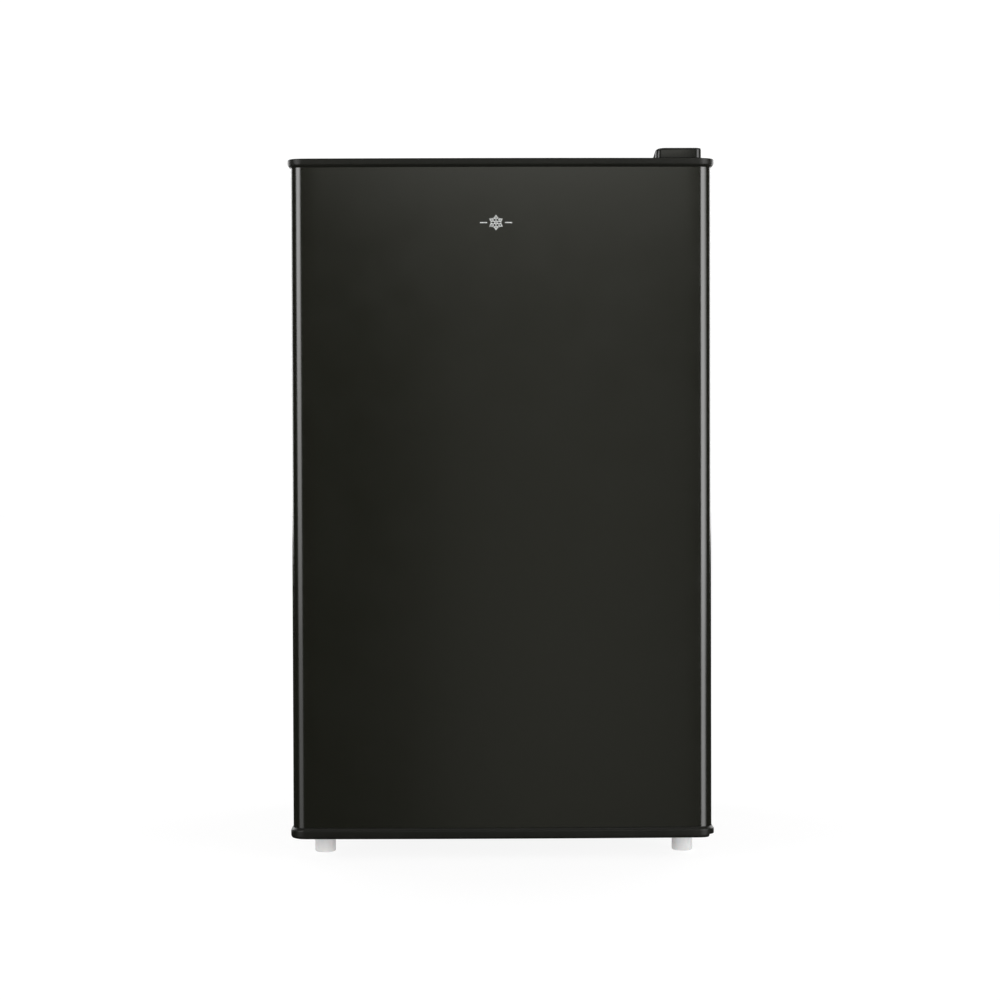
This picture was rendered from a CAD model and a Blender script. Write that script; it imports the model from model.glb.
"""The looks of an under-counter refrigerator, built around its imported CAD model.

Lengths are millimetres in the model's own frame unless a name says otherwise: +Z up, the door faces -Y,
and the origin is on the floor under the middle of the object.
"""

from math import asin, cos, degrees, pi, radians, sin, tan

import bmesh
import bpy
from mathutils import Matrix, Vector


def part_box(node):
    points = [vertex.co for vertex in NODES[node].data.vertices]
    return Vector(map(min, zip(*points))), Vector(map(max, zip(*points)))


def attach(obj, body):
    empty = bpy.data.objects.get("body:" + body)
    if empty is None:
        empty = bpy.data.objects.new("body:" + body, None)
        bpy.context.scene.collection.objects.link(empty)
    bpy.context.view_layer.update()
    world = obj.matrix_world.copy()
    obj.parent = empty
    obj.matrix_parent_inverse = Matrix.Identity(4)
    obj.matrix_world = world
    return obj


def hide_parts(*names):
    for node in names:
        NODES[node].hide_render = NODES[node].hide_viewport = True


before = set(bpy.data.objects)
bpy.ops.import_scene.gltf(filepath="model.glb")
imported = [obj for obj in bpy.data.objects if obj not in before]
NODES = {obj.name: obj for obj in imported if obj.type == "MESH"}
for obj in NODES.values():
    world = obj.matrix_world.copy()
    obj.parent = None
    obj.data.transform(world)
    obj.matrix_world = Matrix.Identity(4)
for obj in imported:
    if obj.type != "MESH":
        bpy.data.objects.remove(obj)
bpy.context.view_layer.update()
MM = 0.001


def box_mm(node):
    """Lowest and highest corner of a CAD node, in millimetres."""
    low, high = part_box(node)
    return low / MM, high / MM


# ---------------- sizes shared by several pieces
SKIN_LOW, SKIN_HIGH = box_mm("door_skin")
CAP_TOP, CAP_BOTTOM = box_mm("door_top_cap")[1].z, box_mm("door_bottom_cap")[0].z
SHELL_LOW, SHELL_HIGH = box_mm("cabinet_shell")
PIN_LOW, PIN_HIGH = box_mm("top_hinge_pin")
BINS = ("upper_bin", "middle_bin", "bottle_bin")
PIN = ((PIN_LOW.x + PIN_HIGH.x) / 2, (PIN_LOW.y + PIN_HIGH.y) / 2)
DOOR_HALF = SKIN_HIGH.x
DOOR_FRONT = SKIN_LOW.y
DOOR_REAR = SKIN_HIGH.y
SHEET = 0.8  # thickness of the sheet metal
CORNER = 16.0  # radius of the door's rolled sides
BOW = 3.0  # how far the door's face bulges
FOLD = 1.6  # radius of the skin's rear folds
BORE = 7.3  # radius of the hinge bores in the end caps
CONDENSER_Y = box_mm("condenser")[1].y - 3.3  # of its tube's axis

# Of the studio, in metres unless they say otherwise
STAGE_RADIUS_MM = 14000
GLOW_FADE = (0.6, 2.5)  # from the middle, where the stage's own light starts and ends to grow
LENS_MM, SENSOR_MM = 90, 36
CAMERA_TARGET = (-0.0021, -0.25, 0.428)
CAMERA_DISTANCE = 2.977
CAMERA_TURNS = (-0.6, 1.4, -0.17)  # azimuth, elevation and roll in degrees


# ---------------- materials
class Shader:
    """A Principled material with its colour, roughness and relief made by nodes."""

    def __init__(self, name, **fixed):
        self.material = bpy.data.materials.new(name)
        self.material.use_nodes = True
        self.tree = self.material.node_tree
        self.bsdf = self.tree.nodes["Principled BSDF"]
        self.place = self.node("ShaderNodeTexCoord").outputs["Object"]
        self.relief = None
        for socket, value in fixed.items():
            self.bsdf.inputs[socket.replace("_", " ")].default_value = value

    def node(self, kind, **values):
        made = self.tree.nodes.new(kind)
        for key, value in values.items():
            if hasattr(made, key):
                setattr(made, key, value)
            else:
                made.inputs[key].default_value = value
        return made

    def link(self, output, socket):
        self.tree.links.new(output, socket)

    def noise(self, scale, detail, stretch=(1, 1, 1)):
        mapping = self.node("ShaderNodeMapping")
        mapping.inputs["Scale"].default_value = stretch
        self.link(self.place, mapping.inputs["Vector"])
        made = self.node("ShaderNodeTexNoise", Scale=scale, Detail=detail, Roughness=0.5)
        self.link(mapping.outputs["Vector"], made.inputs["Vector"])
        return made.outputs["Fac"]

    def ramp(self, factor, dark, light, low=0.3, high=0.7):
        made = self.node("ShaderNodeValToRGB")
        first, last = made.color_ramp.elements
        first.position, last.position = low, high
        first.color, last.color = (*dark, 1), (*light, 1)
        self.link(factor, made.inputs["Fac"])
        return made.outputs["Color"]

    def colour(self, dark, light, scale, fleck=None):
        """Slow drift between two colours, with an optional fine fleck of a third."""
        drift = self.ramp(self.noise(scale, 3.0), dark, light)
        if fleck:
            colour, size, amount = fleck
            spots = self.ramp(self.noise(1.0 / (size * MM), 1.0), (0, 0, 0), (1, 1, 1), 1 - amount,
                1.02 - amount / 2)
            mix = self.node("ShaderNodeMix", data_type="RGBA")
            self.link(spots, mix.inputs[0])
            self.link(drift, mix.inputs[6])
            mix.inputs[7].default_value = (*colour, 1)
            drift = mix.outputs[2]
        self.link(drift, self.bsdf.inputs["Base Color"])
        return self

    def remap(self, value, socket, start, end, low, high):
        """Feeds the shader's socket with a value, carried from start..end to low..high."""
        made = self.node("ShaderNodeMapRange")
        for name, number in (("From Min", start), ("From Max", end), ("To Min", low), ("To Max", high)):
            made.inputs[name].default_value = number
        self.link(value, made.inputs["Value"])
        self.link(made.outputs["Result"], self.bsdf.inputs[socket])

    def rough(self, low, high, scale, stretch=(1, 1, 1)):
        self.remap(self.noise(scale, 4.0, stretch), "Roughness", 0.3, 0.7, low, high)
        return self

    def bump(self, height, strength, distance_mm):
        made = self.node("ShaderNodeBump", Strength=strength, Distance=distance_mm * MM)
        self.link(height, made.inputs["Height"])
        if self.relief:
            self.link(self.relief, made.inputs["Normal"])
        self.relief = made.outputs["Normal"]
        self.link(self.relief, self.bsdf.inputs["Normal"])
        return self

    def grain(self, size_mm, strength, distance_mm):
        """Relief from noise with features of about that size."""
        return self.bump(self.noise(0.6 / (size_mm * MM), 2.0), strength, distance_mm)

    def cells(self, size_mm, strength, distance_mm):
        made = self.node("ShaderNodeTexVoronoi", Scale=1.0 / (size_mm * MM))
        self.link(self.place, made.inputs["Vector"])
        return self.bump(made.outputs["Distance"], strength, distance_mm)


def make_materials():
    """Every look by its short name, with the record's material slot that it belongs to."""
    made = {}

    def add(look, slot, name=None, **fixed):
        shader = Shader(name or slot, **fixed)
        made[look] = (shader.material, slot)
        return shader

    (add("paint", "charcoal_paint", Specular_IOR_Level=0.9)
        .colour((0.0036, 0.0038, 0.0018), (0.0042, 0.0044, 0.0022), 3,
            fleck=((0.01, 0.011, 0.006), 0.35, 0.36))
        .rough(0.18, 0.21, 25).grain(1.6, 0.007, 0.03))
    (add("wrap", "charcoal_paint", "embossed_cabinet_paint", Specular_IOR_Level=0.35)
        .colour((0.006, 0.0063, 0.004), (0.008, 0.0083, 0.0056), 3, fleck=((0.016, 0.017, 0.012), 0.5, 0.36))
        .rough(0.36, 0.42, 25).cells(2.4, 0.1, 0.1).grain(0.8, 0.03, 0.03))
    (add("sheet", "back_sheet", "back_sheet_paint", Specular_IOR_Level=0.4)
        .colour((0.05, 0.051, 0.052), (0.064, 0.065, 0.066), 6).rough(0.45, 0.58, 40)
        .grain(1.5, 0.05, 0.04))
    (add("cap", "black_cap_plastic", Specular_IOR_Level=0.3)
        .colour((0.004, 0.0042, 0.0028), (0.0052, 0.0054, 0.0038), 9).rough(0.36, 0.42, 60)
        .cells(0.45, 0.03, 0.02).grain(3, 0.02, 0.04))
    (add("cover", "black_cap_plastic", "polished_black_plastic", Specular_IOR_Level=0.45)
        .colour((0.003, 0.0032, 0.0022), (0.0042, 0.0044, 0.0032), 9).rough(0.16, 0.22, 60)
        .grain(3, 0.02, 0.04))
    (add("bay", "bay_plastic").colour((0.014, 0.014, 0.014), (0.026, 0.026, 0.025), 14)
        .rough(0.45, 0.6, 50).cells(0.7, 0.15, 0.05))
    (add("foot", "foot_plastic", Subsurface_Weight=0.08).colour((0.62, 0.62, 0.62), (0.69, 0.69, 0.69), 60)
        .rough(0.36, 0.48, 150).grain(0.8, 0.06, 0.04))
    (add("bush", "bush_plastic").colour((0.55, 0.55, 0.54), (0.64, 0.64, 0.63), 80).rough(0.3, 0.45, 120)
        .grain(0.6, 0.05, 0.03))
    (add("liner", "liner_plastic", Specular_IOR_Level=0.5)
        .colour((0.8, 0.81, 0.805), (0.84, 0.845, 0.84), 4).rough(0.32, 0.38, 12).grain(5, 0.03, 0.08))
    (add("fitting", "fitting_plastic", Specular_IOR_Level=0.5)
        .colour((0.82, 0.83, 0.82), (0.86, 0.865, 0.86), 12).rough(0.28, 0.33, 20).grain(4, 0.02, 0.05))
    (add("clear", "clear_plastic", Transmission_Weight=0.92, IOR=1.49)
        .colour((0.86, 0.925, 0.94), (0.9, 0.95, 0.96), 8).rough(0.05, 0.1, 35).grain(3, 0.02, 0.05))
    (add("glass", "shelf_glass", Transmission_Weight=1, IOR=1.5)
        .colour((0.83, 0.925, 0.895), (0.87, 0.945, 0.92), 6).rough(0.01, 0.04, 20))
    (add("foam", "foam", "insulation_foam").colour((0.62, 0.5, 0.24), (0.78, 0.68, 0.4), 18)
        .rough(0.8, 0.95, 90).cells(1.2, 0.6, 0.6))
    (add("seal", "gasket_vinyl", Sheen_Weight=0.15).colour((0.05, 0.051, 0.05), (0.07, 0.071, 0.07), 20)
        .rough(0.5, 0.62, 80).grain(0.7, 0.08, 0.04))
    (add("silver", "badge_metal", "emblem_silver", Metallic=0.25)
        .colour((0.5, 0.51, 0.505), (0.56, 0.57, 0.56), 90).rough(0.2, 0.3, 300).grain(0.5, 0.05, 0.01))
    (add("enamel", "compressor_enamel", "black_enamel", Coat_Weight=0.5, Coat_Roughness=0.12)
        .colour((0.009, 0.009, 0.009), (0.015, 0.015, 0.015), 20).rough(0.3, 0.42, 60)
        .grain(1.8, 0.12, 0.05).grain(0.5, 0.05, 0.02))
    (add("copper", "copper_tube", Metallic=1)
        .colour((0.56, 0.25, 0.13), (0.76, 0.4, 0.24), 70, fleck=((0.42, 0.19, 0.1), 1.5, 0.2))
        .rough(0.22, 0.42, 120).grain(1, 0.08, 0.02))
    (add("zinc", "zinc_plated_steel", Metallic=1).colour((0.5, 0.52, 0.53), (0.66, 0.66, 0.64), 45)
        .rough(0.28, 0.42, 150).grain(0.6, 0.06, 0.02))

    galvanised = add("galvanised", "galvanised_steel", Metallic=1)
    spangle = galvanised.node("ShaderNodeTexVoronoi", Scale=70)
    galvanised.link(galvanised.place, spangle.inputs["Vector"])
    tint = galvanised.ramp(spangle.outputs["Color"], (0.4, 0.42, 0.43), (0.58, 0.6, 0.61), 0.2, 0.8)
    galvanised.link(tint, galvanised.bsdf.inputs["Base Color"])
    galvanised.rough(0.34, 0.5, 60).grain(2, 0.05, 0.03)

    (add("rubber", "grommet_rubber", "black_rubber").colour((0.013, 0.013, 0.013), (0.024, 0.024, 0.024), 60)
        .rough(0.65, 0.8, 90).grain(0.6, 0.15, 0.05))

    aluminium = add("aluminium", "evaporator_aluminium", Metallic=0.65)
    aluminium.colour((0.7, 0.72, 0.73), (0.8, 0.81, 0.82), 25).rough(0.3, 0.42, 60, (1, 1, 8))
    channels = aluminium.node("ShaderNodeTexWave", wave_type="BANDS", bands_direction="Y",
        Scale=8.5, Distortion=0)
    aluminium.link(aluminium.place, channels.inputs["Vector"])
    aluminium.bump(channels.outputs["Fac"], 0.55, 1.6).grain(0.8, 0.04, 0.02)

    (add("ice_blue", "fitting_plastic", "ice_blue_print").colour((0.24, 0.47, 0.66), (0.32, 0.55, 0.72), 60)
        .rough(0.3, 0.4, 100).grain(0.5, 0.05, 0.02))
    (add("dark", "fitting_plastic", "shadow_grey_plastic")
        .colour((0.1, 0.11, 0.115), (0.14, 0.15, 0.155), 40).rough(0.4, 0.5, 90).grain(0.5, 0.06, 0.02))

    made["wire_enamel"] = (made["enamel"][0], "condenser_enamel")
    return made


MATERIALS = make_materials()


# ---------------- outlines, as lists of (u, v)
def arc(cu, cv, r, start, end, steps):
    """Points on an arc, its ends included. Angles are in degrees."""
    turn = [radians(start + (end - start) * i / steps) for i in range(steps + 1)]
    return [(cu + r * cos(t), cv + r * sin(t)) for t in turn]


def rounded(u0, v0, u1, v1, r, steps):
    """A rectangle with round corners, anticlockwise."""
    r = max(r, 0.05)
    return (arc(u1 - r, v0 + r, r, -90, 0, steps) + arc(u1 - r, v1 - r, r, 0, 90, steps)
        + arc(u0 + r, v1 - r, r, 90, 180, steps) + arc(u0 + r, v0 + r, r, 180, 270, steps))


def centred(half, v0, v1, r, steps):
    return rounded(-half, v0, half, v1, r, steps)


def on_xy(outline, z):
    return [(u, v, z) for u, v in outline]


def on_xz(outline, y):
    return [(u, y, v) for u, v in outline]


def on_yz(outline, x):
    return [(x, u, v) for u, v in outline]


def door_front(grow, inset, steps):
    """The bowed front and its two rolled corners, from the left side to the right, in plan."""
    span = DOOR_HALF - CORNER
    bow_radius = (span * span + BOW * BOW) / (2 * BOW)
    ahead = min(grow, 2.5)
    centre = DOOR_FRONT + bow_radius
    sweep = degrees(asin(span / (bow_radius - CORNER)))
    r = CORNER + grow - inset
    cv = centre - (bow_radius - CORNER) * cos(radians(sweep)) + grow - ahead
    left = arc(-span, cv, r, 180, 270 - sweep, steps)
    right = arc(span, cv, r, 270 + sweep, 360, steps)
    face = arc(0, centre + grow - ahead, bow_radius + grow - inset, 270 - sweep, 270 + sweep, 26)
    return left + face[1:-1] + right


def door_outline(grow):
    """The whole plan of an end cap, anticlockwise."""
    half = DOOR_HALF + grow
    r = 1.5
    right = arc(half - r, DOOR_REAR - r, r, 0, 90, 3)
    left = arc(r - half, DOOR_REAR - r, r, 90, 180, 3)
    return door_front(grow, 0, 12) + right + left


# ---------------- solids, added to a bmesh
def loft(bm, rings, caps=(True, True), around=False):
    """Joins rings of points in turn. around joins the last ring to the first."""
    grid = [[bm.verts.new(Vector(p) * MM) for p in ring] for ring in rings]
    count = len(grid[0])
    following = grid[1:] + (grid[:1] if around else [])
    for a, b in zip(grid, following):
        for i in range(count):
            j = (i + 1) % count
            bm.faces.new((a[i], a[j], b[j], b[i]))
    if caps[0] and not around:
        bm.faces.new(grid[0][::-1])
    if caps[1] and not around:
        bm.faces.new(grid[-1])
    return bm


def block(bm, low, high, r=0, segments=2):
    """A box with rounded edges."""
    made = bmesh.ops.create_cube(bm, size=1)["verts"]
    low, high = Vector(low), Vector(high)
    for v in made:
        v.co = Vector([low[i] + (v.co[i] + 0.5) * (high[i] - low[i]) for i in range(3)]) * MM
    if r:
        edges = list(dict.fromkeys(e for v in made for e in v.link_edges))
        bmesh.ops.bevel(bm, geom=edges, offset=r * MM, segments=segments, profile=0.5, affect="EDGES")
    return bm


def lathe(bm, profile, centre, turn=Matrix.Identity(3), sides=48, scale=(1, 1)):
    """Turns (radius, height) pairs about an axis through centre, which turn carries from +Z."""
    rings = []
    for radius, height in profile:
        spots = 1 if radius < 1e-6 else sides
        ring = []
        for i in range(spots):
            t = 2 * pi * i / sides
            p = Vector((radius * cos(t) * scale[0], radius * sin(t) * scale[1], height))
            ring.append(bm.verts.new((turn @ p + Vector(centre)) * MM))
        rings.append(ring)
    for a, b in zip(rings, rings[1:]):
        for i in range(sides):
            j = (i + 1) % sides
            corners = [a[i % len(a)], a[j % len(a)], b[j % len(b)], b[i % len(b)]]
            bm.faces.new(list(dict.fromkeys(corners)))
    return bm


def prism(bm, outline, place, start, end, edge=0):
    """An outline swept along its normal, with its two end edges softened by insetting."""
    if not edge:
        return loft(bm, [place(outline, start), place(outline, end)])
    small = inset_outline(outline, edge)
    way = 1 if end > start else -1
    return loft(bm, [place(small, start), place(outline, start + way * edge),
        place(outline, end - way * edge), place(small, end)])


def inset_outline(outline, distance):
    """An anticlockwise outline moved inwards."""
    made = []
    count = len(outline)
    for i, (u, v) in enumerate(outline):
        before, after = Vector(outline[i - 1]), Vector(outline[(i + 1) % count])
        here = Vector((u, v))
        tangent = (after - before).normalized()
        made.append(tuple(here + Vector((-tangent.y, tangent.x)) * distance))
    return made


def tub(bm, half, y0, y1, z0, z1, wall, draft, r, rim, lip=0):
    """A drafted tub with a rolled rim, open at the top. half may be a pair, (x0, x1)."""
    x0, x1 = half if isinstance(half, tuple) else (-half, half)

    def ring(inset, z):
        corner = max(r - inset * 0.3, 1)
        return on_xy(rounded(x0 + inset, y0 + inset, x1 - inset, y1 - inset, corner, 7), z)

    heel = [(5.5, 0), (2.6, 0.7), (0.9, 2.4), (0, 5.5)]
    rings = [ring(draft + i, z0 + h) for i, h in heel]
    if lip:
        rings += [ring(lip + 0.3, z1 - 5), ring(lip * 0.4, z1 - 4.5), ring(0, z1 - 3.8)]
    rings += [ring(0, z1 - rim), ring(rim * 0.3, z1 - rim * 0.3), ring(rim, z1)]
    inner = lip + wall
    rings += [ring(inner - rim, z1), ring(inner - rim * 0.3, z1 - rim * 0.3), ring(inner, z1 - rim)]
    return loft(bm, rings + [ring(draft + wall + i, z0 + wall + h) for i, h in reversed(heel)])


def screw_head(bm, centre, r, height, turn):
    """A pan head with a cross cut, its seat at the centre and its axis carried from +Z."""

    def spots(points):
        return [bm.verts.new((turn @ Vector(p) + Vector(centre)) * MM) for p in points]

    dome = [(0, 0), (r, 0), (r, 0.35), (r * 0.9, 0.7), (r * 0.62, 0.95), (r * 0.5, 1)]
    lathe(bm, [(u, v * height) for u, v in dome], centre, turn, 24)
    arm, width, deep = r * 0.5, r * 0.13, height * 0.45
    cross = [(arm, -width), (arm, width), (width, width)]
    for _ in range(3):
        cross += [(-v, u) for u, v in cross[-3:]]
    top = spots((u, v, height) for u, v in cross)
    base = spots((u * 0.6, v * 0.6, height - deep) for u, v in cross)
    for i in range(12):
        j = (i + 1) % 12
        bm.faces.new((top[i], top[j], base[j], base[i]))
    bm.faces.new(base)
    turns = [2 * pi * i / 24 for i in range(24)]
    disc = spots((arm * cos(t), arm * sin(t), height) for t in turns)
    edges = [bm.edges.new((disc[i], disc[(i + 1) % 24])) for i in range(24)]
    edges += [bm.edges.get((top[i], top[(i + 1) % 12])) for i in range(12)]
    bmesh.ops.triangle_fill(bm, use_beauty=True, use_dissolve=False, edges=edges)
    return bm


def both_sides(bm, inner, outer, low, high, r, segments=2):
    """The same block on the left and the right, inner to outer off the middle. low and high are (y, z)."""
    block(bm, (-outer, *low), (-inner, *high), r, segments)
    return block(bm, (inner, *low), (outer, *high), r, segments)


def stack(node, r, steps, levels):
    """The plan of a CAD node's box with round corners, drawn in by an inset at each (inset, height)."""
    low, high = box_mm(node)
    return loft(bmesh.new(), [on_xy(rounded(low.x + i, low.y + i, high.x - i, high.y - i, r, steps), z)
        for i, z in levels])


FACING_FRONT, FACING_BACK, FACING_DOWN = (Matrix.Rotation(radians(a), 3, "X") for a in (90, -90, 180))
FACING_RIGHT, FACING_LEFT = (Matrix.Rotation(radians(a), 3, "Y") for a in (90, -90))


# ---------------- pieces
def finished(obj, look, node, body="cabinet"):
    """Gives a piece its look and ties it to its body, in place of a CAD node if there is one."""
    material, slot = MATERIALS[look]
    obj.data.materials.clear()
    obj.data.materials.append(material)
    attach(obj, body)
    if node:
        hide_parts(node)
    return obj


def smooth(mesh, sharp=35):
    mesh.shade_smooth()
    mesh.set_sharp_from_angle(angle=radians(sharp))


def to_object(name, bm, sharp=35, recalculate=True):
    if recalculate:
        bmesh.ops.recalc_face_normals(bm, faces=bm.faces)
    mesh = bpy.data.meshes.new(name)
    bm.to_mesh(mesh)
    bm.free()
    smooth(mesh, sharp)
    obj = bpy.data.objects.new(name, mesh)
    bpy.context.scene.collection.objects.link(obj)
    return obj


def piece(name, bm, look, node=None, body="cabinet", sharp=35, recalculate=True):
    return finished(to_object(name, bm, sharp, recalculate), look, node, body)


def combine(target, bm, operation):
    """Joins a solid to an object, or cuts it out."""
    tool = to_object("tool", bm)
    modifier = target.modifiers.new("shape", "BOOLEAN")
    modifier.operation = operation
    modifier.object = tool
    modifier.solver = "EXACT"
    bpy.context.view_layer.update()
    depsgraph = bpy.context.evaluated_depsgraph_get()
    mesh = bpy.data.meshes.new_from_object(target.evaluated_get(depsgraph))
    target.modifiers.clear()
    target.data = mesh
    bpy.data.objects.remove(tool)


def tube(name, points, radius, bend, look, node=None, sides=5, steps=7):
    """A bent tube on the cabinet, through corners that are rounded to bend at most."""
    corners = [Vector(p) for p in points]
    line = [corners[0]]
    for before, here, after in zip(corners, corners[1:], corners[2:]):
        reach = min(bend, 0.48 * (before - here).length, 0.48 * (after - here).length)
        start = here + (before - here).normalized() * reach
        end = here + (after - here).normalized() * reach
        for i in range(steps + 1):
            t = i / steps
            line.append(start * (1 - t) ** 2 + here * 2 * t * (1 - t) + end * t * t)
    line.append(corners[-1])
    curve = bpy.data.curves.new(name, "CURVE")
    curve.dimensions = "3D"
    curve.bevel_depth = radius * MM
    curve.bevel_resolution = sides
    curve.use_fill_caps = True
    spline = curve.splines.new("POLY")
    spline.points.add(len(line) - 1)
    for point, place in zip(spline.points, line):
        point.co = (*(place * MM), 1)
    spline.use_smooth = True
    obj = bpy.data.objects.new(name, curve)
    bpy.context.scene.collection.objects.link(obj)
    return finished(obj, look, node)


def keep(look, soften, *nodes):
    """CAD nodes that stay, with a better material and softened edges."""
    for node in nodes:
        obj = NODES[node]
        obj.data.materials.clear()
        obj.data.materials.append(MATERIALS[look][0])
        obj.modifiers.new("weld", "WELD").merge_threshold = 0.00001
        if soften:
            bevel = obj.modifiers.new("soft_edges", "BEVEL")
            bevel.width = soften * MM
            bevel.segments = 2
            bevel.limit_method = "ANGLE"
            bevel.angle_limit = radians(40)
            bevel.harden_normals = bevel.use_clamp_overlap = True


def snowflake(bm, u, v, r, width, place, near, far):
    """Six arms with paired barbs, drawn about (u, v) on a plane and raised from near to far."""

    def stroke(a, b):
        a, b = Vector(a), Vector(b)
        along = (b - a).normalized()
        side = Vector((-along.y, along.x)) * width / 2
        tip = along * width / 2
        outline = [a - side - tip * 0.4, a + side - tip * 0.4, b + side, b + tip, b - side]
        outline = [(p.x, p.y) for p in reversed(outline)]
        prism(bm, outline, place, near, far)

    for i in range(6):
        t = radians(60 * i + 90)
        way = Vector((cos(t), sin(t)))
        centre = Vector((u, v))
        stroke(centre, centre + way * r)
        for share in (0.45, 0.72):
            root = centre + way * r * share
            for lean in (-50, 50):
                out = Matrix.Rotation(radians(lean), 2) @ way
                stroke(root, root + out * r * (1.02 - share) * 0.62)
    return bm


# ---------------- door
def make_door_skin():
    """Pressed sheet: a bowed face, rolled edges and narrow returns behind."""
    back = DOOR_REAR

    def line(inset):
        r = FOLD - inset
        right = arc(DOOR_HALF - FOLD, back - FOLD, r, 0, 90, 4)
        left = arc(FOLD - DOOR_HALF, back - FOLD, r, 90, 180, 4)
        lip = DOOR_HALF - 13.5
        return [(-lip, back - inset)] + left + door_front(0, inset, 16) + right + [(lip, back - inset)]

    section = line(0) + line(SHEET)[::-1]
    bm = loft(bmesh.new(), [on_xy(section, z) for z in (SKIN_LOW.z, (SKIN_LOW.z + SKIN_HIGH.z) / 2,
        SKIN_HIGH.z)])
    piece("door_panel", bm, "paint", "door_skin", "door")


def cap_rings(base, profile):
    return [on_xy(door_outline(grow), base + z) for z, grow in profile]


def make_top_cap():
    """Moulded end cap with a proud bead, a finger pocket in its top and a bore for the hinge."""
    top, line = CAP_TOP, CAP_TOP - 10
    bead = [(0, -0.6), (0, 0.05), (0.5, 0.3), (1.3, 1), (2.3, 2.1), (3.4, 3), (4.4, 3.4), (5.2, 3.5),
        (8.9, 3.5), (9.4, 3.35), (9.78, 2.98), (9.95, 2.5)]
    cap = to_object("top_end_cap", loft(bmesh.new(), cap_rings(line, bead) + cap_rings(top, [(0, 1.9)])))
    x0, x1 = -186, -46
    y0, y1 = DOOR_FRONT + 15, DOOR_FRONT + 37
    combine(cap, block(bmesh.new(), (x0 - 3, y0 - 3, top - 23), (x1 + 3, y1 + 3, top - 5)), "UNION")
    rings = [on_xy(rounded(x0 + i, y0 + i, x1 - i, y1 - i, 7, 7), z)
        for i, z in ((5.5, top - 18), (3.2, top - 17.4), (1.4, top - 15.6), (0.8, top - 12), (0.2, top - 2),
        (-0.3, top - 0.9), (-1.2, top - 0.2), (-1.6, top + 1))]
    combine(cap, loft(bmesh.new(), rings), "DIFFERENCE")
    combine(cap, lathe(bmesh.new(), [(0, top - 22), (BORE, top - 22), (BORE, top - 0.8), (8.1, top + 0.4),
        (0, top + 0.4)], (*PIN, 0)), "DIFFERENCE")
    smooth(cap.data)
    finished(cap, "cap", "door_top_cap", "door")


def make_bottom_cap():
    """Moulded end cap, hollow underneath where the hinge's tongue sweeps."""
    low = CAP_BOTTOM
    bead = [(0, -1.2), (0.12, 0.2), (0.6, 1.3), (1.5, 2.2), (2.8, 2.8), (4.2, 3), (8.6, 3), (9.7, 2.75),
        (10.7, 2.05), (11.6, 1.15), (12.4, 0.4), (13, 0.05), (13, -0.6)]
    cap = to_object("bottom_end_cap", loft(bmesh.new(), cap_rings(low, bead)))
    deep = low + 3.8
    inner = inset_outline(door_outline(0), 4)
    combine(cap, loft(bmesh.new(), [on_xy(inner, low - 1), on_xy(inner, deep)]), "DIFFERENCE")
    px, py = PIN
    clear, reach = 7, 30
    far = -clear / cos(radians(20)) - reach * tan(radians(20))
    plan = [(-clear - 1, -clear), (0, -clear), (reach, far), (reach, reach), (-clear - 1, reach)]
    sweep = [(x + px, y + py) for x, y in plan]
    combine(cap, loft(bmesh.new(), [on_xy(sweep, low - 1), on_xy(sweep, deep - 0.01)]), "DIFFERENCE")
    combine(cap, lathe(bmesh.new(), [(0, low - 1), (BORE, low - 1), (BORE, low + 26), (0, low + 26)],
        (*PIN, 0)), "DIFFERENCE")
    smooth(cap.data)
    finished(cap, "cap", "door_bottom_cap", "door")


def make_emblem():
    """A plain snowflake between two short bars, in thin raised strokes."""
    low, high = box_mm("door_badge")
    u, v = (low.x + high.x) / 2, (low.z + high.z) / 2
    near, far = DOOR_FRONT - 0.02, DOOR_FRONT - 0.95
    bm = bmesh.new()
    snowflake(bm, u, v, 8.4, 1.3, on_xz, near, far)
    for side in (-1, 1):
        x0, x1 = sorted((u + side * 10.5, u + side * 19))
        block(bm, (x0, far, v - 0.65), (x1, near, v + 0.65), 0.3)
    piece("emblem", bm, "silver", "door_badge", "door")


def make_door_liner():
    """Vacuum-formed sheet: a flat border, and a raised dyke round a shallow back."""
    front = DOOR_REAR + 0.3
    face = front + 1.5
    low, high = box_mm("door_liner")
    half, z0, z1, peak = high.x, low.z, high.z, high.y

    def ring(h, a, b, r, y):
        return on_xz(centred(h, a, b, r, 7), y)

    outer = [(0, 8, front), (0, 8, face - 0.4), (0.4, 8, face)]
    rings = [ring(half - i, z0 + i, z1 - i, r, y) for i, r, y in outer]
    dyke = [(-6, 15, face), (-3.2, 13.5, face + 0.5), (-1.2, 12, face + 2.2), (-0.2, 11, face + 5),
        (0.9, 10, peak - 6), (1.1, 10, peak - 2.6), (1.7, 9.8, peak - 1.1), (3, 9.5, peak - 0.25),
        (5, 9, peak), (14.5, 8, peak), (16.8, 7, peak - 0.25), (18.3, 6, peak - 1.1), (18.9, 5.5, peak - 2.6),
        (19.1, 5.5, peak - 6), (20.4, 5, face + 6), (21.4, 5, face + 2.6), (23.6, 5, face + 0.7),
        (27, 5, face), (44, 6, face), (45.5, 6, face + 0.9), (51, 6, face + 0.9), (52.5, 6, face)]
    rings += [ring(190 - i, 79 + i, 777 - i, r, y) for i, r, y in dyke]
    bm = loft(bmesh.new(), rings, (False, True))
    piece("door_inner_panel", bm, "liner", "door_liner", "door", 50, False)
    bm = bmesh.new()
    for node in BINS:
        top = box_mm(node)[1].z - 3.3
        both_sides(bm, 162.5, 171.5, (DOOR_FRONT + 52, top - 8), (DOOR_FRONT + 72, top), 1.6, 3)
    piece("bin_lugs", bm, "liner", body="door")


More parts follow.
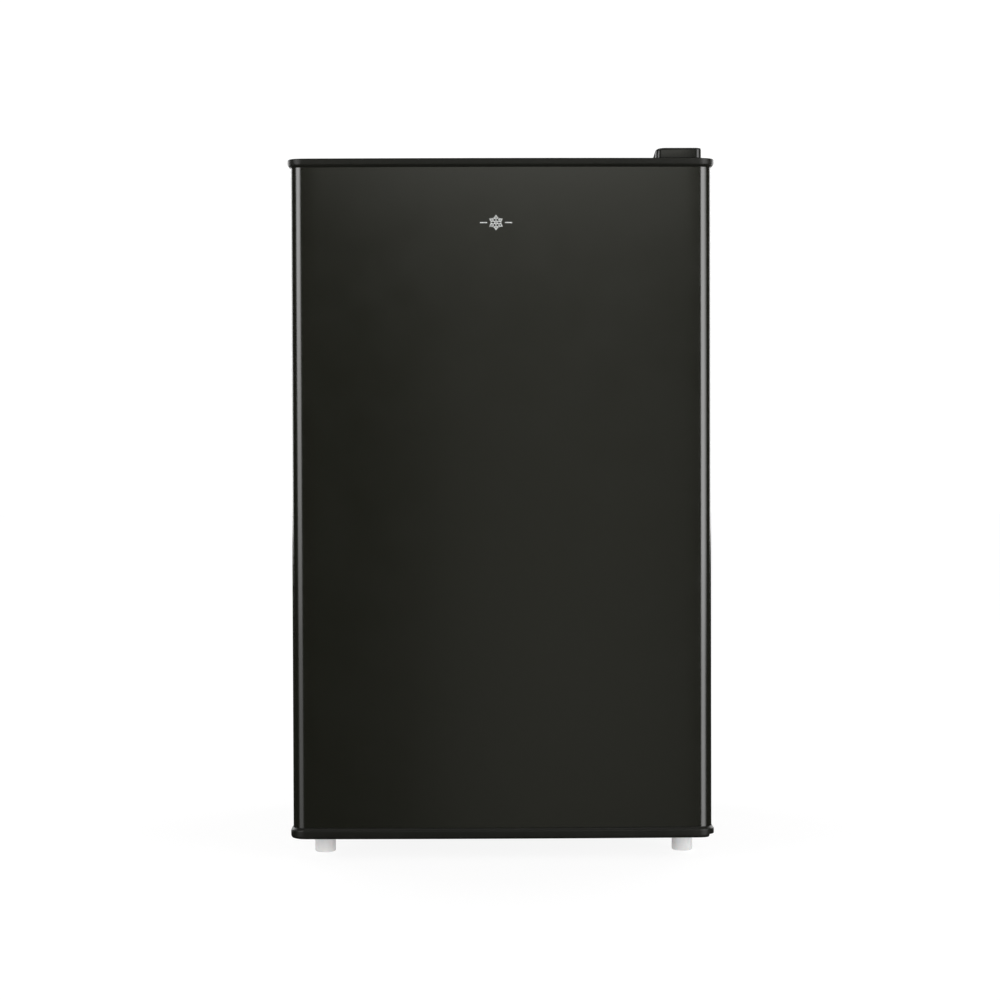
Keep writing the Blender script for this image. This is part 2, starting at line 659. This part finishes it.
def make_gasket():
    """Extruded bellows with a magnet pocket, mitred round the door."""
    low, high = box_mm("door_gasket")
    y0, y1 = low.y, high.y
    outer = [(3, 0), (13, 0), (13.4, 1), (15.2, 1.8), (15.8, 2.7), (15, 3.6), (12.9, 4.2), (12.9, 4.9),
        (15.2, 5.5), (16, 6.3)]
    inner = [(0, 6.3), (0.8, 5.5), (3.1, 4.9), (3.1, 4.2), (1, 3.6), (0.2, 2.7), (0.8, 1.8), (2.6, 1)]
    section = [(i, y0 + h) for i, h in outer] + [(16, y1 - 0.5), (15.5, y1), (0.5, y1), (0, y1 - 0.5)]
    section += [(i, y0 + h) for i, h in inner]
    rings = [on_xz(rounded(low.x + i, low.z + i, high.x - i, high.z - i, max(6 - i * 0.25, 2), 5), y)
        for i, y in section]
    piece("door_seal", loft(bmesh.new(), rings, around=True), "seal", "door_gasket", "door", sharp=50)


def make_bins():
    for node in BINS:
        low, high = box_mm(node)
        bm = tub(bmesh.new(), 160, low.y, high.y, low.z, high.z, 2.2, 3, 10, 0.9)
        both_sides(bm, 159, 168, (DOOR_FRONT + 50, high.z - 3), (DOOR_FRONT + 74, high.z), 0.8)
        for step in range(3):
            z = low.z + (high.z - low.z) * (0.3 + 0.17 * step)
            block(bm, (-128, high.y - 1.6, z - 0.7), (128, high.y - 0.6 + step * 0.2, z + 0.7), 0.5)
        piece(node.replace("_bin", "_door_bin"), bm, "clear", node, node, sharp=40)


# ---------------- cabinet
def wrap_line(inset):
    """The wrap's outline from the front, up the right side and down the left."""
    half, top, bottom = SHELL_HIGH.x - inset, SHELL_HIGH.z - inset, SHELL_LOW.z
    r = max(6 - inset, 0.6)
    return ([(half, bottom)] + arc(half - r, top - r, r, 0, 90, 9) + arc(r - half, top - r, r, 90, 180, 9)
        + [(-half, bottom)])


def make_shell():
    """One bent sheet over the sides and top, with a flange round the front."""
    front, back = SHELL_LOW.y, SHELL_HIGH.y
    bends = [(front, 1.2), (front + 0.25, 0.45), (front + 1, 0), (back - 0.6, 0), (back - 0.15, 0.15),
        (back, 0.5)]
    rings = [on_xz(wrap_line(inset) + wrap_line(inset + SHEET)[::-1], y) for y, inset in bends]
    obj = to_object("cabinet_wrap", loft(bmesh.new(), rings))
    x, z = 224.5, SHELL_HIGH.z - 36
    outer = wrap_line(1.1)
    mouth = [(-x, SHELL_LOW.z), (-x, z - 2), (-x + 2, z), (x - 2, z), (x, z - 2), (x, SHELL_LOW.z)]
    combine(obj, loft(bmesh.new(), [on_xz(outer + mouth, front), on_xz(outer + mouth, front + SHEET)]),
        "UNION")
    smooth(obj.data)
    finished(obj, "wrap", "cabinet_shell")


def make_back():
    """Back sheet with three pressed beads, screwed on round its edge."""
    low, high = box_mm("back_panel")
    bm = prism(bmesh.new(), rounded(low.x, low.z, high.x, high.z + 0.9, 6, 6), on_xz, high.y, low.y, 0.25)
    for x in (-120, 0, 120):
        rings = [on_xz(rounded(x - w, low.z + 54 - w, x + w, high.z - 54 + w, w, 8), high.y + rise)
            for w, rise in ((9, -0.05), (7.6, 0.5), (5.5, 1.2), (2.5, 1.5))]
        loft(bm, rings, (False, True))
    piece("back_sheet", bm, "sheet", "back_panel")
    bm = bmesh.new()
    spots = [(x, z) for x in (-238, 238) for z in (224, 370, 520, 670, 815)]
    spots += [(x, z) for z in (216, 822) for x in (-150, -50, 50, 150)]
    for x, z in spots:
        screw_head(bm, (x, high.y, z), 3.6, 2, FACING_BACK)
    piece("back_screws", bm, "zinc", sharp=30)


def make_room():
    """The inner liner: one formed sheet with soft corners and ledges for the shelves."""
    half, floor, ceiling, back = 209, 68, 788, 177
    step_back, step_top = 42, 244
    mouth = -190
    side = [(mouth, floor), (step_back, floor), (step_back, step_top), (back, step_top), (back, ceiling),
        (mouth, ceiling)]
    bm = loft(bmesh.new(), [on_yz(side, -half), on_yz(side, half)])
    bmesh.ops.recalc_face_normals(bm, faces=bm.faces)
    inside = [e for e in bm.edges if any(v.co.y > (mouth + 1) * MM for v in e.verts)]
    bmesh.ops.bevel(bm, geom=inside, offset=12 * MM, segments=6, profile=0.5, affect="EDGES")
    open_face = [f for f in bm.faces if all(abs(v.co.y - mouth * MM) < 1e-6 for v in f.verts)]
    bmesh.ops.delete(bm, geom=open_face, context="FACES")
    bmesh.ops.reverse_faces(bm, faces=bm.faces)
    piece("room_liner", bm, "liner", "inner_liner", sharp=40, recalculate=False)
    low, high = box_mm("inner_liner")
    front = low.y
    lip = [(0, 12, mouth), (0, 12, front + 4), (0.4, 12, front + 1.8), (1.5, 12, front + 0.5),
        (3.5, 12, front)]
    rings = [on_xz(centred(half + i, floor - i, ceiling + i, r, 6), y) for i, r, y in lip]
    rings += [on_xz(centred(high.x, low.z, high.z, 4, 6), y) for y in (front, front + 1.5)]
    piece("liner_lip", loft(bmesh.new(), rings, (False, False)), "liner", sharp=50, recalculate=False)
    bm = bmesh.new()
    ledges = [(252, -114), (378, -114), (504, -114), (315, -114), (441, -114),
        (box_mm("drip_tray")[0].z, -84)]
    for level, start in ledges:
        both_sides(bm, 202, 214, (start, level - 5.3), (178, level - 0.3), 2, 4)
    piece("shelf_ledges", bm, "liner")
    bm = lathe(bmesh.new(), [(0, 0.2), (3.4, 0.2), (3.6, 1.2), (5.6, 1.5), (7.4, 1), (8.4, 0)],
        (-40, 177, 256), FACING_FRONT, 32)
    piece("drain_inlet", bm, "fitting", recalculate=False)


def make_hinge_parts():
    low, high = box_mm("top_hinge_cover")
    base, top = low.z, high.z
    steps = [(base, 0, 0), (base + 0.5, 0, 0), (base + 8.6, 0.2, 0.05), (base + 9.4, 0.8, 0.1),
        (base + 10.2, 1.9, 0.2), (base + 10.9, 3.2, 0.5), (base + 11.35, 4.6, 1.1), (top - 0.08, 6, 2),
        (top, 7.6, 3.2)]
    rings = []
    for z, left, rest in steps:
        plan = rounded(low.x + left, low.y + rest, high.x - rest, high.y - rest, 7, 8)
        depth, width = high.y - low.y, high.x - low.x
        rings.append(on_xy([(x + 4 * (y - low.y) / depth * (high.x - x) / width, y) for x, y in plan], z))
    piece("hinge_cover", loft(bmesh.new(), rings), "cover", "top_hinge_cover", sharp=50)
    for name in ("bottom_hinge_screw_1", "bottom_hinge_screw_2"):
        low, high = box_mm(name)
        centre = ((low.x + high.x) / 2, (low.y + high.y) / 2, low.z + 3)
        bm = screw_head(bmesh.new(), centre, 5, 3, FACING_DOWN)
        lathe(bm, [(0, 14), (2, 14), (2.5, 12.5), (2.5, 0), (0, 0)], centre, sides=20)
        piece(name.replace("hinge_screw", "hinge_bolt"), bm, "zinc", name)
    low, high = box_mm("hinge_hole_plug")
    bm = stack("hinge_hole_plug", 6, 7, [(0, low.z), (0, low.z + 1), (0.3, low.z + 1.7), (1, high.z - 0.2),
        (2.2, high.z)])
    piece("spare_hole_cap", bm, "cap", "hinge_hole_plug", sharp=50)


def make_feet():
    for side in ("left", "right"):
        pad, stud = f"front_{side}_foot_pad", f"front_{side}_foot_stud"
        low, high = box_mm(pad)
        centre = ((low.x + high.x) / 2, (low.y + high.y) / 2, 0)
        r, top = (high.x - low.x) / 2, high.z
        profile = [(0, 0.6), (r - 6, 0.6), (r - 5, 0), (r - 2.2, 0), (r - 1.1, 0.25), (r - 0.35, 0.9),
            (r - 0.05, 1.9), (r - 0.05, top - 7), (r - 0.35, top - 6.7), (r - 0.35, top - 6),
            (r - 0.05, top - 5.7), (r - 0.05, top - 1.4), (r - 0.4, top - 0.5), (r - 1.3, top), (4.4, top),
            (4.4, 6), (0, 6)]
        piece(f"foot_{side}", lathe(bmesh.new(), profile, centre, sides=64), "foot", pad, pad)
        low, high = box_mm(stud)
        profile = [(0, low.z), (3.2, low.z)]
        z = low.z
        while z < high.z - 2:
            profile += [(3.95, z + 0.45), (3.95, z + 0.7), (3.3, z + 1.15)]
            z += 1.25
        profile += [(3.3, high.z - 0.4), (2.7, high.z), (0, high.z)]
        bm = lathe(bmesh.new(), profile, centre, sides=32)
        piece(f"foot_thread_{side}", bm, "zinc", stud, stud, sharp=25)
        top = box_mm(f"rear_{side}_foot")[1].z
        bm = stack(f"rear_{side}_foot", 5, 6, [(4.5, 0), (3, 0.3), (2.2, 1.2), (1.9, 2.4), (0.6, top - 3),
            (0, top - 2.6), (0, top - 0.4), (0.4, top)])
        piece(f"rear_foot_{side}", bm, "bay", f"rear_{side}_foot", sharp=50)


# ---------------- compressor bay
def make_compressor():
    """A pressed shell in two halves with a welded flange, on a footed plate."""
    x, y = -70, 160
    dome = [(0, 42), (20, 42.4), (34, 44.5), (44, 48.5), (51, 54), (56, 62), (59, 74), (60, 88), (60.2, 95.2),
        (61.2, 96.4), (62.6, 97), (63, 97.6), (63, 100.4), (62.6, 101), (61.2, 101.6), (60.2, 102.6),
        (60, 112), (59.3, 128), (57, 141), (52, 152), (44, 160.5), (34, 166), (22, 169.8), (10, 171.6),
        (0, 172)]
    bm = lathe(bmesh.new(), dome, (x, y, 0), sides=72, scale=(1.22, 0.93))
    prism(bm, rounded(-162, 106, 22, 214, 8, 7), on_xy, 38, 43, 0.7)
    lathe(bm, [(0, 42), (31, 42), (30, 50), (0, 50)], (x, y, 0), sides=48)
    for sx in (-150, 10):
        for sy in (118, 202):
            lathe(bm, [(0, 43), (8, 43), (8, 44.5), (4.2, 44.6), (4.2, 50), (0, 50)], (sx, sy, 0), sides=6)
    piece("compressor_shell", bm, "enamel", "compressor", sharp=32)
    tube("suction_stub", [(-28, 132, 120), (-10, 108, 120)], 3.4, 1, "copper")
    tube("discharge_stub", [(-109.6, 183.2, 120), (-127.6, 207.2, 120)], 3, 1, "copper")
    tube("process_stub", [(-30, 190, 118), (-14, 208, 118), (-8, 213, 122), (-6, 214, 142)], 2.8, 8, "copper")
    for i, (sx, sy) in enumerate(((-150, 118), (10, 118), (-150, 202), (10, 202)), 1):
        node = f"compressor_grommet_{i}"
        low, high = box_mm(node)
        z0, z1 = low.z, high.z
        profile = [(0, z0), (8.6, z0), (9, z0 + 0.5), (9, z0 + 3.4), (8.5, z0 + 4), (6.6, z0 + 4.8),
            (6.2, z0 + 6), (6.6, z0 + 7.4), (8, z0 + 8.6), (8.2, z1 - 0.6), (7.8, z1), (0, z1)]
        piece(f"grommet_{i}", lathe(bmesh.new(), profile, (sx, sy, 0), sides=32), "rubber", node)
    low, high = box_mm("relay_cover")
    levels = [(i, low.z + h) for i, h in ((0.8, 0), (0, 0.8), (0, 18), (0, 18.4), (0.5, 18.7), (0.5, 19.6),
        (0.1, 20))]
    levels += [(i, high.z - h) for i, h in ((0.3, 6), (1, 3.2), (2.6, 1), (5, 0))]
    bm = stack("relay_cover", 4, 6, levels)
    for dx in range(-2, 3):
        cx = (low.x + high.x) / 2 + dx * 5
        block(bm, (cx - 0.9, low.y + 9, high.z - 0.6), (cx + 0.9, high.y - 9, high.z + 0.2), 0.3)
    piece("terminal_cover", bm, "bay", "relay_cover", sharp=45)
    mid = (low.y + high.y) / 2
    clip = [(low.x + 1, mid, low.z + 8), (high.x + 0.9, mid, low.z + 8), (high.x + 0.9, mid, high.z + 0.9),
        (low.x + 1, mid, high.z + 0.9)]
    tube("terminal_clip", clip, 0.9, 4, "zinc")
    bm = lathe(bmesh.new(), [(0, 0), (5.2, 0), (5.2, 1.5), (4, 2.2), (3.7, 5.5), (2.6, 5.9), (2.4, 2),
        (0, 2)], ((low.x + high.x) / 2, high.y, low.z + 14), FACING_BACK, 28)
    piece("cord_inlet", bm, "rubber")


def make_condenser():
    """A tube folded up the back with close wires welded across both its sides."""
    y, half, z0, z1, passes, r = CONDENSER_Y, 205, 236, 796, 11, 2.5
    pitch = (z1 - z0) / (passes - 1)
    line = [(196, 176, 176.3), (196, 176, 195), (196, y, 195), (196, y, z0), (-half, y, z0)]
    for i in range(1, passes):
        ends = (-half, half) if i % 2 else (half, -half)
        line += [(x, y, z0 + i * pitch) for x in ends]
    line[-1] = (-half - 6, y, z1)
    tube("condenser_tube", line, r, 20, "wire_enamel", "condenser", sides=4)
    bm = bmesh.new()
    wires = 54
    for i in range(wires):
        x = -half + 17 + i * (2 * half - 34) / (wires - 1)
        for side in (-1, 1):
            lathe(bm, [(0, z0 - 14), (0.75, z0 - 13.8), (0.75, z1 + 13.8), (0, z1 + 14)],
                (x, y + side * (r + 0.45), 0), sides=6)
    piece("condenser_wires", bm, "wire_enamel", sharp=80)
    bm = bmesh.new()
    for side in (-1, 1):
        x = side * (half - 2)
        wall = sorted((x, x - side * 1.2))
        foot = sorted((x, x + side * 20))
        block(bm, (wall[0], 222.4, z0 + 24), (wall[1], y + 2.2, z1 - 24), 0.4)
        block(bm, (foot[0], 222.4, z0 + 24), (foot[1], 223.6, z1 - 24), 0.4)
        for z in (z0 + 60, (z0 + z1) / 2, z1 - 60):
            screw_head(bm, (x + side * 12, 223.6, z), 3.8, 2, FACING_BACK)
    piece("condenser_straps", bm, "wire_enamel")


def make_lines():
    y = CONDENSER_Y
    discharge = [(-127.8, 207.44, 120), (-137.2, 220, 120), (-238, 240, 150), (-238, 240, 796),
        (-226, y, 796), (-211.3, y, 796)]
    tube("discharge_pipe", discharge, 2.5, 12, "copper", "discharge_line")
    suction = [(-9.8, 107.76, 120), (0.8, 93.6, 120), (120, 93.6, 165), (146, 127, 180), (146, 127, 228)]
    tube("suction_pipe", suction, 3, 12, "copper", "suction_line")
    x, cy = 196, 176
    barrel = [(0, 0), (2.6, 0), (2.8, 4), (4.5, 7.5), (8, 10.5), (9, 13), (9, 20), (8.7, 20.6), (8.7, 22),
        (9, 22.6), (9, 74), (8.7, 74.6), (8.7, 76), (9, 76.6), (9, 83), (8, 87), (4.5, 91), (3, 94), (3, 98),
        (0, 98)]
    piece("drier_barrel", lathe(bmesh.new(), barrel, (x, cy, 78), sides=40), "copper", "filter_drier")
    coil = [(x, cy, 80), (x, cy, 66)]
    turns, steps, r = 3, 14, 15
    for i in range(turns * steps + 1):
        t = 2 * pi * i / steps
        coil.append((x - r * cos(t), cy - 22 + r * sin(t), 60 + i * 0.18))
    coil += [(154, 140, 84), (154, 130, 100), (154, 130, 226)]
    tube("capillary", coil, 1.2, 6, "copper", sides=3, steps=3)
    hose = [(-40, 178.8, 256), (-40, 200, 256), (-40, 200, 184)]
    tube("melt_hose", hose, 5, 12, "bush", "drain_hose")
    low, high = box_mm("evaporation_tray")
    bm = tub(bmesh.new(), (low.x, high.x), low.y, high.y, low.z, high.z, 2, 3, 10, 0.8)
    piece("melt_tray", bm, "bay", "evaporation_tray", sharp=45)


# ---------------- inside the cabinet
def make_freezer():
    low, high = box_mm("evaporator_box")
    half, z0, z1 = 200, 658, 780
    front, back = low.y, high.y

    def ring(i, y):
        return on_xz(centred(half - i, z0 + i, z1 - i, 10 - i * 0.6, 7), y)

    rings = [ring(6, back), ring(2, back - 1.2), ring(0, back - 5), ring(0, front + 0.4), ring(0.4, front),
        ring(1.6, front), ring(2, front + 0.4), ring(2, back - 6), ring(3.5, back - 3.4), ring(7.5, back - 2)]
    bm = loft(bmesh.new(), rings)
    for x in (-150, 150):
        for y in (-50, 130):
            block(bm, (x - 12, y - 12, z1 - 0.5), (x + 12, y + 12, 787.7), 1)
    piece("freezer_box", bm, "aluminium", "evaporator_box", sharp=40)

    low, high = box_mm("freezer_frame")
    y0, y1 = low.y, high.y
    outer = [(0, y1), (0, y0 + 2.2), (0.7, y0 + 0.7), (2.2, y0)]
    inner = [(10, y0), (11.3, y0 + 0.5), (12, y0 + 1.8), (12, y1)]

    def frame_ring(i, y):
        share = i / 12
        bottom, top = low.z + 10 * share, high.z - 9 * share
        return on_xz(centred(high.x - i, bottom, top, 6 - 3 * share, 6), y)

    bm = loft(bmesh.new(), [frame_ring(i, y) for i, y in outer + inner], around=True)
    piece("freezer_surround", bm, "fitting", "freezer_frame", sharp=50)

    low, high = box_mm("freezer_flap")
    py, pz = -89, 771
    half, bottom, top = 195.7, 661, pz + 5
    face, rear = py - 4, py + 3
    levels = [(1.6, rear), (0.4, rear - 0.5), (0, rear - 1.6), (0, face + 1.6), (0.4, face + 0.5),
        (1.6, face), (9, face), (10.6, face + 0.5), (11.6, face + 1.6), (13, face + 2)]
    bm = loft(bmesh.new(), [on_xz(centred(half - i, bottom + i, top - i, max(4 - i * 0.2, 2), 6), y)
        for i, y in levels])
    for z in range(5):
        both_sides(bm, 92, 170, (face + 1, 742 - z * 3.6), (face + 2.4, 743.4 - z * 3.6), 0.5)
    lathe(bm, [(0, -half - 4), (2.2, -half - 4), (2.5, -half - 3.5), (2.5, half + 3.5), (2.2, half + 4),
        (0, half + 4)], (0, py, pz), FACING_RIGHT, 24)
    block(bm, (-38, low.y, 664), (38, face + 1, 670), 2.2, 4)
    block(bm, (-38, low.y, 662.6), (38, low.y + 3, 670), 1.3, 3)
    piece("ice_flap", bm, "fitting", "freezer_flap", "freezer_flap", sharp=45)
    bm = bmesh.new()
    snowflake(bm, 0, 716, 17, 1.9, on_xz, face + 2.2, face + 1.2)
    piece("ice_mark", bm, "ice_blue", body="freezer_flap")

    low, high = box_mm("drip_tray")
    bm = tub(bmesh.new(), 194, -84, 150, low.z, high.z, 1.8, 2, 9, 0.7)
    both_sides(bm, 192.5, 207, (-76, low.z), (146, low.z + 2), 0.6)
    block(bm, (-60, -91, high.z - 3), (60, -82.5, high.z), 1.2, 3)
    piece("melt_water_tray", bm, "clear", "drip_tray", "drip_tray", sharp=45)


def make_shelves():
    for level in ("upper", "lower"):
        glass, trim = f"{level}_shelf_glass", f"{level}_shelf_trim"
        low, high = box_mm(glass)
        piece(f"{level}_glass", block(bmesh.new(), low, high, 1, 3), "glass", glass, f"{level}_shelf")
        z, front = low.z, box_mm(trim)[0].y
        outline = [(front + 14, z - 2.1), (front + 14, z - 0.6), (front + 2.1, z - 0.5),
            (front + 1.9, z + 4.2), (front + 7, z + 4.4), (front + 7.4, z + 5.2), (front + 6.6, z + 6)]
        outline += arc(front + 2.6, z + 3.5, 2.6, 90, 180, 6) + arc(front + 2.4, z + 0.3, 2.4, 180, 270, 6)
        half = 201.5
        bm = loft(bmesh.new(), [on_yz(outline[::-1], -half), on_yz(outline[::-1], half)])
        for i in range(3):
            y, rib = front - 0.25, z - 0.6 + i * 1.7
            block(bm, (-half, y, rib), (half, y + 0.75, rib + 0.7), 0.2)
        piece(f"{level}_shelf_edge", bm, "fitting", trim, f"{level}_shelf")
    low, high = box_mm("crisper_cover")
    piece("crisper_glass", block(bmesh.new(), low, high, 1, 3), "glass", "crisper_cover")

    low, high = box_mm("crisper_drawer")
    front = low.y + 5
    bm = tub(bmesh.new(), 192, front, high.y, low.z, high.z, 2.4, 5, 11, 1, 2)
    block(bm, (-70, low.y, high.z - 5), (70, front + 3, high.z), 1.6, 4)
    block(bm, (-70, low.y, high.z - 17), (70, low.y + 2.2, high.z - 2), 1, 3)
    both_sides(bm, 68, 70, (low.y, high.z - 17), (front + 3, high.z - 2), 0.8)
    for i in range(4):
        z = low.z + 34 + i * 26
        block(bm, (-150, front + 4.2 - i * 0.65, z - 0.9), (150, front + 5.6 - i * 0.65, z + 0.9), 0.6)
    piece("vegetable_drawer", bm, "clear", "crisper_drawer", "crisper_drawer", sharp=45)


def make_thermostat():
    low, high = box_mm("thermostat_housing")
    cy, cz = (low.y + high.y) / 2, (low.z + high.z) / 2
    base, front = high.x, low.x

    def ring(inset, x, r):
        return on_yz(rounded(low.y + inset, low.z + inset, high.y - inset, high.z - inset, r, 7), x)

    rings = [ring(0, base, 8), ring(0.2, base - 1.5, 8), ring(1.6, front + 7, 8), ring(2.2, front + 4.4, 8),
        ring(3.6, front + 1.8, 7.5), ring(5.8, front + 0.5, 7), ring(8, front, 6)]
    bm = loft(bmesh.new(), rings)
    for side in (-1, 1):
        screw_head(bm, (front + 0.05, cy + side * 33, cz), 2.8, 1, FACING_LEFT)
    piece("control_case", bm, "fitting", "thermostat_housing", sharp=45)
    bm = bmesh.new()
    for i in range(7):
        t = radians(-125 + i * 250 / 6)
        y, z = cy + 20.5 * sin(t), cz + 20.5 * cos(t)
        size = 0.5 + i * 0.12
        lathe(bm, [(0, -0.2), (size, -0.2), (size, 0.25), (0, 0.3)], (front, y, z), FACING_LEFT, 16)
    piece("control_marks", bm, "dark")
    low, high = box_mm("thermostat_dial")
    tip = low.x
    count = 96
    rings = []
    for lift, scale in ((0.3, 0.96), (0.9, 1), (8.4, 1), (9.3, 0.97), (9.9, 0.91), (11, 0.89), (11.4, 0.85)):
        ring = []
        for i in range(count):
            t = 2 * pi * i / count
            r = (17 - (0.55 if i % 4 < 2 and 0.9 <= lift <= 8.5 else 0)) * scale
            ring.append((front - 0.3 - lift, cy + r * cos(t), cz + r * sin(t)))
        rings.append(ring)
    bm = loft(bmesh.new(), rings)
    block(bm, (tip, cy - 14, cz - 3), (front - 10.5, cy + 14, cz + 3), 1.2, 3)
    lathe(bm, [(0, -8), (3, -8), (3, 1), (0, 1)], (front - 0.3, cy, cz), FACING_LEFT, 24)
    piece("control_dial", bm, "fitting", "thermostat_dial", "thermostat_dial", sharp=40)
    bm = block(bmesh.new(), (tip - 0.1, cy - 0.6, cz + 5), (tip + 0.6, cy + 0.6, cz + 12.5), 0.2)
    lathe(bm, [(0, 0), (1, 0), (1, 0.3), (0, 0.35)], (tip, cy + 11, cz), FACING_LEFT, 16)
    piece("dial_pointer", bm, "dark", body="thermostat_dial")


# ---------------- studio
def stage_material(name, colour, emission):
    """A matt surface with a faint mottle, and light of its own that grows to white away from the object."""
    shader = Shader(name, Roughness=0.85, Specular_IOR_Level=0.1)
    shader.colour([c * 0.985 for c in colour], colour, 0.8)
    shader.bsdf.inputs["Emission Color"].default_value = (1, 1, 1, 1)
    distance = shader.node("ShaderNodeVectorMath", operation="LENGTH")
    shader.link(shader.place, distance.inputs[0])
    shader.remap(distance.outputs["Value"], "Emission Strength", *GLOW_FADE, emission, 1.0)
    return shader.material


def make_stage():
    bm = lathe(bmesh.new(), [(0, 0), (1500, 0), (6000, 0), (STAGE_RADIUS_MM, 0)], (0, 0, -0.2), sides=64)
    floor = to_object("floor", bm, recalculate=False)
    floor.data.materials.append(stage_material("pale_floor", (0.12, 0.12, 0.12), 0.9))
    turns = [radians(a) for a in range(0, 90, 6)]
    curve = [(STAGE_RADIUS_MM * cos(t), STAGE_RADIUS_MM * sin(t)) for t in turns]
    bm = lathe(bmesh.new(), curve + [(0, STAGE_RADIUS_MM)], (0, 0, -0.2), sides=64)
    dome = to_object("backdrop", bm, recalculate=False)
    dome.data.materials.append(stage_material("pale_backdrop", (0.12, 0.12, 0.12), 1.0))
    for ray in ("visible_diffuse", "visible_glossy", "visible_shadow"):
        setattr(dome, ray, False)
    floor.visible_glossy = floor.visible_shadow = False


def soft_box(name, distance, panels, high, radiance, colour=(1, 1, 1)):
    """Flat panels that face the object, each given by (azimuth from the door's axis, span, lower edge).

    Distance and heights are in metres, angles in degrees, and span is the width as the object sees it.
    The panels differ, so the light fades towards the floor and the sides, and stand a little apart,
    because a ray meets only one of two lights in the same plane.
    """
    for i, (azimuth, span, low) in enumerate(panels):
        turn = radians(azimuth)
        away = distance + 0.03 * i
        width = 2 * away * tan(radians(span / 2))
        light = bpy.data.lights.new(f"{name}_{i}", "AREA")
        light.shape = "RECTANGLE"
        light.size, light.size_y = width, high - low
        light.energy = radiance / len(panels) * pi * width * (high - low)
        light.color = colour
        obj = bpy.data.objects.new(light.name, light)
        obj.location = (away * sin(turn), DOOR_FRONT * MM - away * cos(turn), (low + high) / 2)
        obj.rotation_euler = (pi / 2, 0, turn)
        bpy.context.scene.collection.objects.link(obj)
        obj.visible_camera = False
    return obj


def make_lights():
    world = bpy.data.worlds.new("studio")
    bpy.context.scene.world = world
    world.use_nodes = True
    sky = world.node_tree.nodes["Background"].inputs
    sky["Color"].default_value = (1.0, 1.0, 0.97, 1)
    sky["Strength"].default_value = 0.04
    left = ((-55, 32, 0.75), (-54, 32, 0.6), (-52, 32, 0.35), (-50, 34, 0.1), (-48, 34, -0.6))
    soft_box("left_box", 2.8, left, 2.3, 4.6)
    soft_box("right_box", 2.8, ((54, 48, 0.1), (49, 40, -0.6), (44, 30, -0.6)), 2.1, 4.6)
    soft_box("front_box", 4.4, ((4, 15, -0.9),), 1.8, 0.185, (1, 1, 0.9))
    soft_box("high_box", 6.0, ((1.5, 20, 1.45), (1.5, 20, 1.65), (1.5, 20, 1.9)), 3.2, 1.3, (1, 1, 0.93))
    soft_box("rear_left_box", 2.4, ((-138, 36, 0.3),), 2.0, 3.4)
    soft_box("rear_right_box", 2.4, ((138, 36, 0.3),), 2.0, 3.4)
    fill = soft_box("fill", 3.0, ((0, 32, 0.0),), 1.6, 3.0)
    fill.visible_glossy = False
    overhead = soft_box("overhead", 2.6, ((0, 50, 0.0),), 2.4, 1.3)
    overhead.location = (0, 0, 2.9)
    overhead.rotation_euler = (0, 0, 0)


def make_camera():
    """A long lens a little above the middle of the door, with the photograph's slight tilt."""
    scene = bpy.context.scene
    data = bpy.data.cameras.new("camera")
    data.lens, data.sensor_width = LENS_MM, SENSOR_MM
    data.clip_start, data.clip_end = 0.1, 60
    camera = bpy.data.objects.new("camera", data)
    scene.collection.objects.link(camera)
    scene.camera = camera
    azimuth, elevation, roll = (radians(a) for a in CAMERA_TURNS)
    level = cos(elevation)
    away = Vector((sin(azimuth) * level, -cos(azimuth) * level, sin(elevation)))
    camera.location = Vector(CAMERA_TARGET) + away * CAMERA_DISTANCE
    facing = (-away).to_track_quat("-Z", "Y").to_matrix()
    camera.rotation_euler = (facing @ Matrix.Rotation(roll, 3, "Z")).to_euler()
    scene.view_settings.view_transform = "Standard"


make_camera()
make_door_skin()
make_top_cap()
make_bottom_cap()
make_emblem()
make_door_liner()
make_gasket()
make_bins()
make_shell()
make_back()
make_room()
make_hinge_parts()
make_feet()
make_compressor()
make_condenser()
make_lines()
make_freezer()
make_shelves()
make_thermostat()
keep("foam", 0, "door_insulation", "cabinet_insulation")
keep("bush", 0.4, "top_hinge_bush", "bottom_hinge_bush")
keep("zinc", 0.4, "top_hinge_bracket", "bottom_hinge_bracket")
keep("zinc", 0.3, "top_hinge_pin", "bottom_hinge_pin")
keep("zinc", 0.2, "top_hinge_screw_1", "top_hinge_screw_2")
keep("galvanised", 0.4, "compressor_plate")
keep("galvanised", 0.2, "base_pan")
keep("paint", 0.3, "front_rail")
make_stage()
make_lights()
